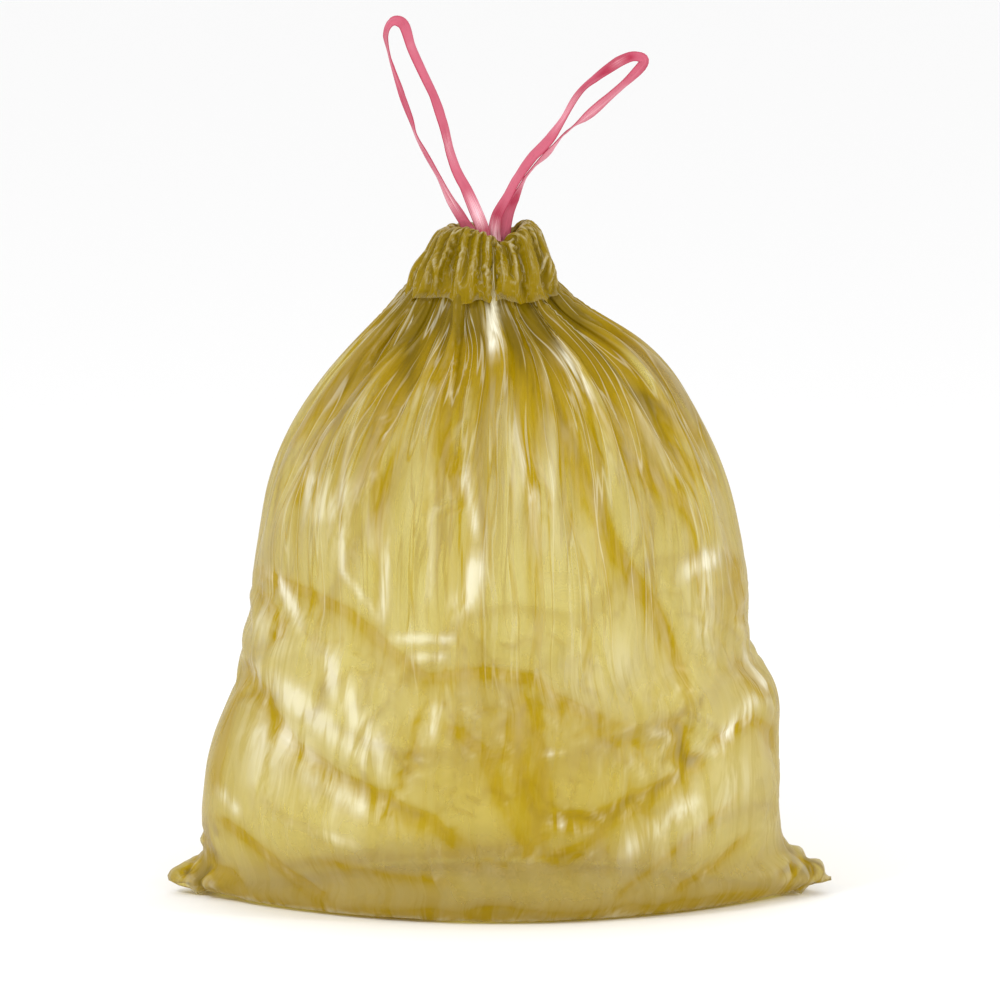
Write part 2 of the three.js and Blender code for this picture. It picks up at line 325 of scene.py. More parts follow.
def outline(tree, height, count):
    """The frame's outline at a height: count points from its left end, round the front and back."""
    half = []
    for side in (-1, 1):
        rays = []
        for step in range(RAYS + 1):
            turn = math.pi * step / RAYS
            way = Vector((-math.cos(turn), side * math.sin(turn), 0))
            rays.append(tree.ray_cast(Vector((0, 0, height)) + OUTSIDE * way, -way)[0])
        half.append(resample(rays, count // 2))
    return half[0][:-1] + half[1][:0:-1]


def film_meridians(tree, around, along):
    """For each place round the bag, its points from the weld, along the underside and up to the neck.

    They are taken from rings at a list of heights, closer together where the film turns under."""
    levels = [0.0015, 0.009, 0.012, 0.017, 0.024, 0.034, 0.048]
    level, level_step, top_gap = 0.062, 0.007, 0.002
    while level < FILM_HIGH.z - top_gap:
        levels.append(level)
        level += level_step
    rings = [outline(tree, level, around) for level in levels]
    weld_end = 0.0005 + (FILM_HIGH.x - FILM_LOW.x) / 2
    meridians = []
    for place in range(around):
        across = place / (around / 2)
        across = across if across <= 1 else 2 - across
        end = abs(2 * across - 1)
        weld = Vector((
            weld_end * (2 * across - 1) * 0.995, 0,
            0.0008 + 0.0085 * smooth(0.8, 1.0, end)))
        foot = rings[0][place].lerp(rings[1][place], end ** 6)
        line = [weld, foot] + [ring[place] for ring in rings[2:]]
        meridians.append(resample(line, along))
    return meridians


# The crumpled film

def grid_normals(points):
    """Outward normals of a grid of points that closes on itself round the bag."""
    round_way = np.roll(points, -1, 0) - np.roll(points, 1, 0)
    up_way = np.gradient(points, axis=1)
    normals = np.cross(round_way, up_way)
    return normals / np.maximum(np.linalg.norm(normals, axis=2, keepdims=True), 1e-12)


def coarser(grid, factor):
    """A grid with only one point left of each so many, both ways."""
    return grid[::factor, ::factor]


def finer(grid):
    """A grid with a new point between each two."""
    around, along = grid.shape[:2]
    wide = np.empty((2 * around, along) + grid.shape[2:])
    wide[::2] = grid
    wide[1::2] = (grid + np.roll(grid, -1, 0)) / 2
    tall = np.empty((2 * around, 2 * along - 1) + grid.shape[2:])
    tall[:, ::2] = wide
    tall[:, 1::2] = (wide[:, :-1] + wide[:, 1:]) / 2
    return tall


def gap_between(points, across, up):
    """From each point of a grid to the one so many steps round and up from it."""
    last = points.shape[1] - up
    first = points[:, :last] if across >= 0 else np.roll(points, across, 0)[:, :last]
    return np.roll(points, -max(across, 0), 0)[:, up:] - first


def pull(points, moved, across, up, rest, share):
    """Adds to moved what brings each pair of points, so far apart in the grid, to its rest length."""
    last = points.shape[1] - up
    gap = gap_between(points, across, up)
    length = np.maximum(np.linalg.norm(gap, axis=2, keepdims=True), 1e-9)
    step = share * 0.5 * (1 - rest / length) * gap
    moved[:, :last] += step if across >= 0 else np.roll(step, -across, 0)
    moved[:, up:] -= np.roll(step, max(across, 0), 0)


# The ties between the sheet's points: steps round, steps up and strength. Where it has no strength
# of its own, a tie has the film's stiffness in bending
TIES = [(1, 0, 1.0), (0, 1, 1.0), (1, 1, 0.5), (-1, 1, 0.5), (2, 0, None), (0, 2, None)]


def tie_lengths(target, wider, taller):
    """The film's flat length for each kind of tie: the target's own, times the spare film there."""
    lengths = []
    for across, up, _ in TIES:
        last = target.shape[1] - up
        spare = (abs(across) * wider[:, :last] + up * taller[:, :last]) / (abs(across) + up)
        gap = np.linalg.norm(gap_between(target, across, up), axis=2)
        lengths.append((gap * spare)[:, :, None])
    return lengths


PULL_SHARE = 0.42  # share of the pull of its ties that a point follows in one round
MOMENTUM = 0.86  # share of its last move that it keeps
HOLD = 0.985  # share of its slide along the target that it keeps
GIVE = 0.4  # share of its way out of the shell that it keeps


def relax(points, target, normals, lengths, inward, outward, free, rounds, stiff):
    """Lets the sheet find its folds: it keeps its flat lengths inside a thin shell at the fill."""
    before = points.copy()
    for _ in range(rounds):
        moved = np.zeros_like(points)
        for (across, up, share), length in zip(TIES, lengths):
            pull(points, moved, across, up, length, share or stiff)
        ahead = points + PULL_SHARE * moved + MOMENTUM * (points - before)
        offset = ahead - target
        depth = (offset * normals).sum(2, keepdims=True)
        allowed = np.clip(depth, -inward, outward)
        kept = GIVE * depth + (1 - GIVE) * allowed
        offset = HOLD * (offset - depth * normals) + kept * normals
        before = points
        points = points + free * (target + offset - points)
        points[:, :, 2] = np.maximum(points[:, :, 2], FLOOR_GAP)
    return points


def settle(target, wider, taller, inward, outward, free, seeds, levels, generator):
    """Relaxes the sheet from its largest folds to its smallest, on finer and finer grids."""
    points = None
    for factor, rounds, stiff, jitter in levels:
        shape = coarser(target, factor)
        normals = grid_normals(shape)
        loose = free[::factor][None, :, None]
        if points is None:
            points = shape + coarser(seeds, factor)[:, :, None] * normals * loose
        else:
            points = finer(points)
        bumps = generator.normal(0, jitter, shape.shape[:2])[:, :, None]
        points = points + bumps * normals * loose
        lengths = tie_lengths(shape, coarser(wider, factor), coarser(taller, factor))
        points = relax(
            points, shape, normals, lengths, inward[::factor][None, :, None],
            outward[::factor][None, :, None], loose, rounds, stiff)
    return points


def evened(grid, rounds):
    """A grid of points with each moved towards the middle of its neighbours, again and again."""
    for _ in range(rounds):
        near = np.roll(grid, 1, 0) + np.roll(grid, -1, 0)
        inner = 0.5 * grid[:, 1:-1] + 0.125 * (near[:, 1:-1] + grid[:, 2:] + grid[:, :-2])
        grid = np.concatenate([grid[:, :1], inner, grid[:, -1:]], axis=1)
    return grid


def patches(around, along, across_cells, up_cells, generator):
    """Soft random patches from 0 to 1 over a grid that closes on itself round the bag."""
    coarse = generator.random((across_cells, up_cells + 1))
    place = np.arange(around) / around * across_cells
    step = np.linspace(0, up_cells, along + 1)
    low_place, low_step = place.astype(int), np.minimum(step.astype(int), up_cells - 1)
    side = rise_between(0, 1, place - low_place)[:, None]
    rise = rise_between(0, 1, step - low_step)[None, :]
    next_place = (low_place + 1) % across_cells
    low, high = (
        (1 - side) * coarse[np.ix_(low_place, row)] + side * coarse[np.ix_(next_place, row)]
        for row in (low_step, low_step + 1))
    return (1 - rise) * low + rise * high


def distance_to_line(x, z, points):
    """Each place's distance from a line of points, its side of the line and how far along it lies."""
    nearest = np.full(x.shape, 1e9)
    side = np.zeros(x.shape)
    along = np.zeros(x.shape)
    for leg, ((ax, az), (bx, bz)) in enumerate(zip(points, points[1:])):
        run_x, run_z = bx - ax, bz - az
        share = ((x - ax) * run_x + (z - az) * run_z) / (run_x ** 2 + run_z ** 2)
        held = np.clip(share, 0, 1)
        gap_x, gap_z = x - ax - held * run_x, z - az - held * run_z
        gap = np.hypot(gap_x, gap_z)
        closer = gap < nearest
        nearest = np.where(closer, gap, nearest)
        side = np.where(closer, np.sign(run_x * gap_z - run_z * gap_x), side)
        along = np.where(closer, (leg + held) / (len(points) - 1), along)
    return nearest, side, along


def seen_from_front(target, mirrored):
    """Each point's x and its height as the camera sees it, in millimetres, on one side of the bag,
    and how far round to that side it lies, from 0 to 1."""
    flip = -1 if mirrored else 1
    x, y, z = (target[:, :, axis] / MILLIMETRE for axis in range(3))
    height = z * math.cos(CAMERA_TILT) + flip * y * math.sin(CAMERA_TILT)
    return flip * x, height, rise_between(0, 30, -flip * y)


MIRRORED_SHARE = 0.35  # how strongly the far side shows the near side's folds
SHARP_SIDE, SOFT_SIDE = 0.45, 1.5  # how far a fold reaches to each side, in its widths
LEAST_REACH, LEAST_DENT = 2.2, 9  # the narrowest shade and dent that the mesh can show, in mm


def drawn_folds(target):
    """Depth and extra layers of the folds that the photograph shows, and the strength of the
    highlights painted on the film, and of their mirror images on the far side, at each point of the
    target."""
    depth = np.zeros(target.shape[:2])
    layers = np.zeros(target.shape[:2])
    painted_sheen = np.zeros(target.shape[:2])
    for mirrored in (False, True):
        x, height, shows = seen_from_front(target, mirrored)
        for points, wide, more, deep in FRONT_FOLDS:
            gap, side, along = distance_to_line(x, height, points)
            ends = np.clip(5 * np.minimum(along + 0.15, 1 - along), 0, 1)
            close = shows * ends * (MIRRORED_SHARE if mirrored else 1.0)
            reach = np.maximum(np.where(side > 0, SHARP_SIDE, SOFT_SIDE) * wide, LEAST_REACH)
            layers = np.maximum(layers, close * more * np.exp(-gap / reach))
            depth += close * deep * np.exp(-(gap / np.maximum(2 * reach, LEAST_DENT)) ** 2)
        for points, wide, strength in FRONT_PAINTED_HIGHLIGHTS:
            gap, _, along = distance_to_line(x, height, points)
            ends = np.clip(4 * np.minimum(along, 1 - along) + 0.3, 0, 1)
            painted_sheen = np.maximum(painted_sheen, shows * ends * strength * np.exp(-(gap / wide) ** 2))
    return depth * MILLIMETRE, evened(layers, 1), evened(painted_sheen, 1)


def fold_seeds(around, along, folds, longest, shortest, height, generator):
    """Ridges that run down from the neck, each to its own length."""
    place = np.arange(around) / around
    up = np.linspace(0, 1, along + 1)
    seeds = np.zeros((around, along + 1))
    for fold in range(folds):
        centre = (fold + generator.uniform(-0.35, 0.35)) / folds
        end = generator.uniform(longest, shortest)
        wide = generator.uniform(0.22, 0.55) / folds
        gap = (place - centre + 0.5) % 1 - 0.5
        ridge = np.exp(-(gap / wide) ** 2)[:, None] * rise_between(end, end + 0.2, up)[None, :]
        seeds += ridge * generator.uniform(0.5, 1)
    return (seeds - 0.5) * height * rise_between(longest, shortest, up)


def pleat_lines(around, along, pleats, generator):
    """Narrow folds that run down from the neck and fade out: sharp on one side, soft on the other."""
    place = np.arange(around)
    up = np.linspace(0, 1, along + 1)
    lines = np.zeros((around, along + 1))
    for pleat in range(pleats):
        centre = generator.uniform(0, around) + generator.uniform(-9, 9) * (1 - up)
        end = 0.9 - 0.5 * generator.random() ** 0.8
        wide = generator.uniform(0.5, 2.2) * (0.6 + 0.9 * up)
        gap = (place[:, None] - centre[None, :] + around / 2) % around - around / 2
        reach = wide[None, :] * np.where(gap * (pleat % 2 - 0.5) > 0, 0.4, 1.6)
        shown = rise_between(end, end + 0.22, up) * generator.uniform(0.4, 1.0)
        lines = np.maximum(lines, np.exp(-np.abs(gap) / reach) * shown[None, :])
    return lines


def hollows(points, reach):
    """How hollow the film is at each point, as the rise of its neighbours over it, in metres."""
    near = (
        np.roll(points, reach, 0) + np.roll(points, -reach, 0)
        + np.concatenate([points[:, reach:], np.repeat(points[:, -1:], reach, 1)], axis=1)
        + np.concatenate([np.repeat(points[:, :1], reach, 1), points[:, :-reach]], axis=1)) / 4
    return ((near - points) * grid_normals(evened(points, 3))).sum(2)


# Sizes of the film's relief, in metres
PLEAT_DEPTH = 0.0014
EAR_LUMP = 0.009
FOLD_HEIGHT = 0.005
SHELL_OUT = 0.003
# For each grid that the film is relaxed on: its coarseness, rounds, stiffness and random bumps
FILM_LEVELS = [(4, 240, 0.3, 0.0006), (2, 220, 0.2, 0.0002), (1, 130, 0.12, 0.00005)]
# How many layers of film each thing adds to what is seen. Those at creases are partly painted shade in
# the hollows, those at the base partly painted shade at the foot, and those where the fill lies are
# painted shade of the fill, which is not built
EAR_LAYERS = 2.4
DRAWN_LAYERS = 2.2
PLEAT_LAYERS = 1.8
GATHER_LAYERS = 5.5
CREASE_AND_SHADE_LAYERS = 0.9
BASE_AND_FOOT_SHADE_LAYERS = 0.8
FILL_SHADE_LAYERS = 0.7


def crumpled_film(settings):
    """The film's points, how many more layers of film each shows than a single wall (partly painted
    shade), how strong a highlight is painted on each, and how pleated each ring is."""
    tree = frame_tree()
    around, along = settings.around, settings.along
    skin = np.array([[tuple(p) for p in line] for line in film_meridians(tree, around, along)])
    skin = evened(skin, 4)
    depth, layers, painted_sheen = drawn_folds(skin)
    generator = np.random.default_rng(settings.seed)
    ears = rise_between(0.196, 0.222, np.abs(skin[:, :, 0])) * rise_between(0.06, 0.03, skin[:, :, 2])
    lumps = patches(around, along, 130, 60, generator) - 0.35
    pleats = pleat_lines(around, along, 100, generator)
    depth = depth + PLEAT_DEPTH * pleats
    target = skin + (EAR_LUMP * ears * lumps - depth)[:, :, None] * grid_normals(skin)
    layers = layers + EAR_LAYERS * ears * rise_between(0.2, -0.2, lumps)

    # Spare film: most round the neck, and some both ways in the crumpled lower part
    up = np.linspace(0, 1, along + 1)
    patchy = patches(around, along, 14, 9, generator)
    low = rise_between(0.55, 0.4, up) * rise_between(0.12, 0.2, up)
    wider = 1.004 + settings.gather * rise_between(0.5, 0.95, up) ** 1.5 + 0.03 * low * patchy
    rumpled = settings.rumple * low * patches(around, along, 11, 8, generator) ** 2
    taller = 1.0 - 0.016 * rise_between(0.45, 0.6, up) + rumpled
    free = (1 - rise_between(0.94, 0.985, up)) * rise_between(0.0, 0.012, up)
    inward = 0.004 + 0.004 * rise_between(0.5, 0.8, up) - 0.002 * rise_between(0.85, 1.0, up)
    outward = np.full(along + 1, SHELL_OUT)
    seeds = fold_seeds(around, along, 58, 0.42, 0.78, FOLD_HEIGHT, generator)
    points = settle(target, wider, taller, inward, outward, free, seeds, FILM_LEVELS, generator)

    # Layers: at creases and the neck, at the base, and where the fill lies against the front. Those at
    # creases are partly painted shade in the hollows, those at the base partly painted shade at the
    # foot, and the patch where the fill lies is painted shade of the fill, which is not built
    x, z = target[:, :, 0], target[:, :, 2]
    creased_and_shaded = rise_between(0.0002, 0.0012, hollows(points, 2))
    bands = 0.55 + 0.9 * patches(around, along, 60, 2, generator)
    gathered = GATHER_LAYERS * bands ** 1.5 * rise_between(0.75, 0.97, up) ** 1.6
    base_and_foot_shade = BASE_AND_FOOT_SHADE_LAYERS * rise_between(0.03, 0.008, z) - 1.5 * rise_between(0.004, 0.0015, z)
    off_fill = np.hypot((x - 0.022) / 0.105, (z - 0.105) / 0.056)
    painted_fill_shade = FILL_SHADE_LAYERS * rise_between(1.45, 0.35, off_fill)
    layers = (
        DRAWN_LAYERS * layers + PLEAT_LAYERS * pleats + gathered + CREASE_AND_SHADE_LAYERS * creased_and_shaded
        + base_and_foot_shade + painted_fill_shade)

    # Painted highlights: the drawn ones, one along each ridge, and a faint painted sheen in the panels
    # between folds and low down, less over the painted shade of the fill
    ridge_highlight = rise_between(0.0003, 0.0012, -hollows(points, 2)) * rise_between(0.95, 0.75, up)
    panels = 0.12 * rise_between(0.3, 0.4, up) * rise_between(0.85, 0.7, up)
    painted_panel_sheen = panels + 0.06 * rise_between(0.2, 0.12, z)
    painted_highlight = np.clip(0.85 * painted_sheen + 0.2 * ridge_highlight + painted_panel_sheen * (1 - np.clip(painted_fill_shade, 0, 1)), 0, 1)
    return points, layers, painted_highlight, rise_between(0.42, 0.55, up)


WELD_REACH = 2e-5  # points of a sheet closer than this, in metres, are welded together


def wrapped_sheet(points, layers, painted_highlight, pleated):
    """A flat sheet laid over the points, welded up its side and along its bottom."""
    around, along = points.shape[0], points.shape[1] - 1
    bm = bmesh.new()
    bm.loops.layers.uv.new("flat")
    thick = bm.verts.layers.float.new("layers")
    # The strength of the highlight painted at each point
    bright = bm.verts.layers.float.new("painted_highlight")
    folded = bm.verts.layers.float.new("pleated")
    bmesh.ops.create_grid(bm, x_segments=around, y_segments=along, size=0.5, calc_uvs=True)
    for vert in bm.verts:
        place = round((vert.co.x + 0.5) * around) % around
        step = round((vert.co.y + 0.5) * along)
        vert.co = points[place, step]
        vert[thick] = layers[place, step]
        vert[bright] = painted_highlight[place, step]
        vert[folded] = pleated[step]
    bmesh.ops.remove_doubles(bm, verts=bm.verts, dist=WELD_REACH)
    bmesh.ops.recalc_face_normals(bm, faces=bm.faces)
    return bm


# The hem

NECK_CENTRE = Vector((-0.009, 0, 0))
TUCK, BULGE = -0.0022, 0.0068  # how far the hem's lower edge lies in, and how far it then swells
HEM_LUMP = 0.004
# For each grid that the hem is relaxed on: its coarseness, rounds, stiffness and random bumps
HEM_LEVELS = [(2, 160, 0.4, 0.0003), (1, 120, 0.3, 0.00005)]


def hem_rings(tree, settings):
    """The hem's rings, from its lower edge up the outside, over the top and into the pocket."""
    around = settings.around
    rings = []
    outer = 14
    for step in range(outer):
        share = step / (outer - 1)
        height = HEM_TOP - settings.depth + share * (settings.depth - 0.006)
        stand_off = TUCK + BULGE * math.sin(0.5 * math.pi * min(1, 1.7 * share)) ** 2
        ring = outline(tree, height, around)
        rings.append([
            p + stand_off * (p - NECK_CENTRE - Vector((0, 0, p.z))).normalized() for p in ring])
    pocket = []
    for point in rings[-1]:
        way = Vector((point.x - NECK_CENTRE.x, point.y, 0)).normalized()
        start = Vector((NECK_CENTRE.x, 0, HEM_TOP - 0.008))
        hit = tree.ray_cast(start, way)[0]
        pocket.append(hit if hit else start + 0.012 * way)
    turn_in = [(0.12, -0.002), (0.35, 0.0015), (0.65, 0.0015), (0.88, -0.002), (0.97, -0.008)]
    for share, height in turn_in:
        lift = Vector((0, 0, HEM_TOP + height))
        rings.append([
            Vector((a.x, a.y, 0)).lerp(Vector((b.x, b.y, 0)), share) + lift
            for a, b in zip(rings[outer - 1], pocket)])
    return rings


def gathered_hem(settings, generator):
    """The hem's points, drawn into pleats, with what crumpled_film gives for the film's."""
    around, along = settings.around, settings.along
    rings = hem_rings(frame_tree(), settings)
    lines = [resample([ring[place] for ring in rings], along) for place in range(around)]
    target = evened(np.array([[tuple(p) for p in line] for line in lines]), 2)
    x = target[:, :, 0]
    up = np.linspace(0, 1, along + 1)
    top = rise_between(0.3, 0.62, up) * rise_between(1.0, 0.8, up)
    left_lump = np.exp(-((x + 0.026) / 0.012) ** 2)
    right_lump = np.exp(-((x - 0.020) / 0.009) ** 2)
    valley = np.exp(-((x - 0.001) / 0.007) ** 2)
    target[:, :, 2] += top * (HEM_LUMP * left_lump + 1.5 * HEM_LUMP * (right_lump - valley))
    ragged = patches(around, along, 40, 2, generator) - 0.5
    target[:, :, 2] += 0.006 * ragged * rise_between(0.25, 0.0, up)
    wider = 1 + settings.gather * rise_between(-0.1, 0.4, up) + np.zeros((around, 1))
    taller = 1.0 + 0.05 * patches(around, along, 24, 3, generator)
    free = rise_between(-0.02, 0.1, up) * rise_between(1.0, 0.93, up)
    inward = 0.0008 + 0.0035 * rise_between(0.0, 0.25, up)
    outward = np.full(along + 1, 0.0028)
    seeds = fold_seeds(around, along, 34, -0.6, -0.3, HEM_LUMP, generator)
    points = settle(target, wider, taller, inward, outward, free, seeds, HEM_LEVELS, generator)
    # More layers in the hem's hollows: partly its folds, partly painted shade
    creased_and_shaded = rise_between(0.0001, 0.0008, hollows(points, 2))
    edge = rise_between(-0.12, 0.22, up[None, :] - 0.16 * ragged)
    bunched = 1.4 * rise_between(0.2, 0.6, up)[None, :]
    layers = edge * (3.0 + 2.6 * creased_and_shaded + bunched)
    # A highlight painted on the hem's ridges
    painted_highlight = 0.2 * edge * rise_between(0.0004, 0.001, -hollows(points, 2))
    return points, layers, painted_highlight, np.ones_like(up)


# The drawtapes

WANDER_STEPS = 7  # steps along a tape from one random pinch, dish or ruck to the next
TAPE_WELD_REACH = 1e-6


def swept_tape(name, route, settings, generator):
    """A flattened tube of film along a route, pinched and dished a little as it goes."""
    steps, sides = 170, 28
    places = [Vector((x, y, HEM_TOP / MILLIMETRE + above)) * MILLIMETRE for x, y, above, _ in route]
    turns = [Vector((turn, 0, 0)) for _, _, _, turn in route]
    line = smooth_line(places, steps)
    facing = smooth_line(turns, steps)
    wander = generator.normal(0, 1, (3, steps // WANDER_STEPS + 3))
    grid = []
    marks = []
    for step, (here, turn) in enumerate(zip(line, facing)):
        ahead, behind = line[min(step + 1, steps)], line[max(step - 1, 0)]
        tangent = (ahead - behind).normalized()
        in_plane = tangent.cross(Vector((0, 1, 0))).normalized()
        across_plane = in_plane.cross(tangent).normalized()
        angle = math.radians(turn.x)
        width_way = across_plane * math.cos(angle) + in_plane * math.sin(angle)
        thick_way = tangent.cross(width_way)
        loose = math.sin(math.pi * step / steps) ** 0.4
        pinch, dish, ruck = (
            float(np.interp(step / WANDER_STEPS, range(wander.shape[1]), row)) for row in wander)
        half = settings.width / 2 * (1 - 0.10 * loose * abs(pinch))
        ring = []
        marks.append([])
        for side in range(sides):
            turn_round = 2 * math.pi * side / sides
            across = math.cos(turn_round)
            # Layers at the folded edges and where it dishes, and a highlight painted along the middle
            # where the tape rucks
            edge = 1.6 * abs(across) ** 7 + 0.9 * max(0.0, dish) * (1 - across * across)
            marks[-1].append((edge, 0.35 * max(0.0, ruck) * (1 - abs(across)) ** 0.5))
            thick = math.copysign(abs(math.sin(turn_round)) ** 0.6, math.sin(turn_round))
            lift = loose * settings.thickness * (
                0.7 * dish * across ** 2 + 0.35 * ruck * math.sin(5 * across + 0.2 * step))
            ring.append(
                here + half * across * width_way + (settings.thickness / 2 * thick + lift) * thick_way)
        grid.append(ring)
    bm = bmesh.new()
    bm.loops.layers.uv.new("flat")
    thick = bm.verts.layers.float.new("layers")
    bright = bm.verts.layers.float.new("painted_highlight")
    bmesh.ops.create_grid(bm, x_segments=sides, y_segments=steps, size=0.5, calc_uvs=True)
    for vert in bm.verts:
        step = round((vert.co.y + 0.5) * steps)
        side = round((vert.co.x + 0.5) * sides) % sides
        vert.co = grid[step][side]
        vert[thick], vert[bright] = marks[step][side]
    bmesh.ops.remove_doubles(bm, verts=bm.verts, dist=TAPE_WELD_REACH)
    open_edges = [edge for edge in bm.edges if edge.is_boundary]
    bmesh.ops.holes_fill(bm, edges=open_edges, sides=0)
    bmesh.ops.recalc_face_normals(bm, faces=bm.faces)
    return new_object(name, bm)


def smooth_line(points, steps):
    """Points at even steps along a Catmull-Rom curve through the given ones."""
    fine = []
    for leg in range(len(points) - 1):
        a, b, c, d = (points[min(max(leg + k, 0), len(points) - 1)] for k in (-1, 0, 1, 2))
        for part in range(12):
            t = part / 12
            fine.append(0.5 * (
                2 * b + (c - a) * t + (2 * a - 5 * b + 4 * c - d) * t ** 2
                + (3 * b - a - 3 * c + d) * t ** 3))
    fine.append(points[-1].copy())
    reach = len(fine) - 1
    placed = []
    for step in range(steps + 1):
        at = reach * step / steps
        leg = min(int(at), reach - 1)
        placed.append(fine[leg].lerp(fine[leg + 1], at - leg))
    return placed


# Materials

def node(tree, kind, place, **values):
    """A shader node at a place, with its properties and inputs set by name."""
    made = tree.nodes.new(kind)
    made.location = place
    for name, value in values.items():
        if hasattr(made, name):
            setattr(made, name, value)
        else:
            made.inputs[name].default_value = value
    return made


def feed(tree, socket, value):
    """Links a socket to another node's output, or sets it to a plain number."""
    if isinstance(value, bpy.types.NodeSocket):
        tree.links.new(value, socket)
    else:
        socket.default_value = value


def worked_out(tree, operation, place, *values, clamp=False):
    """What a maths node makes of its values, each a number or another node's output."""
    made = node(tree, "ShaderNodeMath", place, operation=operation, use_clamp=clamp)
    for socket, value in zip(made.inputs, values):
        feed(tree, socket, value)
    return made.outputs["Value"]


def mapped(tree, value, old, new, place, kind="LINEAR"):
    """A value moved from its old range to a new one."""
    made = node(tree, "ShaderNodeMapRange", place, interpolation_type=kind)
    for name, given in zip(("Value", "From Min", "From Max", "To Min", "To Max"), (value, *old, *new)):
        feed(tree, made.inputs[name], given)
    return made.outputs["Result"]


def drawn_out_noise(tree, cells, place, **values):
    """Noise drawn out along the film: so many cells across its flat size and so many along it."""
    x, y = place
    flat = node(tree, "ShaderNodeTexCoord", (x - 400, y))
    stretch = node(tree, "ShaderNodeMapping", (x - 200, y), Scale=(*cells, 1.0))
    noise = node(tree, "ShaderNodeTexNoise", place, Scale=1.0, **values)
    tree.links.new(flat.outputs["UV"], stretch.inputs["Vector"])
    tree.links.new(stretch.outputs["Vector"], noise.inputs["Vector"])
    return noise.outputs["Fac"]


def ridges(tree, noise, middle, sharpness, place):
    """Thin lines where a noise passes a middle value: 1 on the line and 0 away from it."""
    x, y = place
    away = worked_out(tree, "SUBTRACT", place, noise, middle)
    size = worked_out(tree, "ABSOLUTE", (x + 150, y), away)
    return mapped(tree, size, (0.0, sharpness), (1.0, 0.0), (x + 300, y), "SMOOTHSTEP")


def film_crinkle_group():
    """A node group: the fine folds in thin film, as a normal and as masks.

    Pleats is the noise that the pleats along the film follow. The second output is a highlight painted
    along one side of each pleat, and Mottle an unevenness drawn out along the film."""
    group = bpy.data.node_groups.new("Film crinkle", "ShaderNodeTree")
    for name, value in (("Pleats", 0.5), ("Pleated", 0.0), ("Strength", 0.3), ("Height", 0.001)):
        socket = group.interface.new_socket(name, in_out="INPUT", socket_type="NodeSocketFloat")
        socket.default_value = value
    group.interface.new_socket("Normal", in_out="OUTPUT", socket_type="NodeSocketVector")
    for name in ("Bright", "Mottle"):
        group.interface.new_socket(name, in_out="OUTPUT", socket_type="NodeSocketFloat")
    link = group.links.new
    inside = node(group, "NodeGroupInput", (-1500, 0))
    outside = node(group, "NodeGroupOutput", (600, 0))
    pleats = inside.outputs["Pleats"]
    # A highlight painted along one side of each pleat
    line = ridges(group, pleats, 0.455, 0.022, (-800, 50))
    bright = worked_out(group, "MULTIPLY", (-250, 50), line, inside.outputs["Pleated"])
    mottle = drawn_out_noise(
        group, (90.0, 9.0), (-1000, -600), Detail=3.0, Roughness=0.6, Distortion=0.6)
    where = node(group, "ShaderNodeTexCoord", (-900, -800))
    dents = node(group, "ShaderNodeTexVoronoi", (-700, -800), Scale=24.0)
    rumple = worked_out(group, "MULTIPLY_ADD", (-500, -800), dents.outputs["Distance"], 2.6, pleats)
    height = worked_out(group, "MULTIPLY_ADD", (-250, -600), mottle, 0.9, rumple)
    bump = node(group, "ShaderNodeBump", (300, -300))
    link(where.outputs["Object"], dents.inputs["Vector"])
    link(height, bump.inputs["Height"])
    link(inside.outputs["Strength"], bump.inputs["Strength"])
    link(inside.outputs["Height"], bump.inputs["Distance"])
    link(bump.outputs["Normal"], outside.inputs["Normal"])
    link(bright, outside.inputs["Bright"])
    link(mottle, outside.inputs["Mottle"])
    return group


def colour_between(tree, share, low, high, place):
    """A colour between a plain colour, or another node's, and a plain one."""
    made = node(tree, "ShaderNodeMix", place, data_type="RGBA")
    feed(tree, made.inputs["Factor"], share)
    feed(tree, made.inputs[6], low if isinstance(low, bpy.types.NodeSocket) else (*low, 1))
    feed(tree, made.inputs[7], (*high, 1))
    return made.outputs[2]


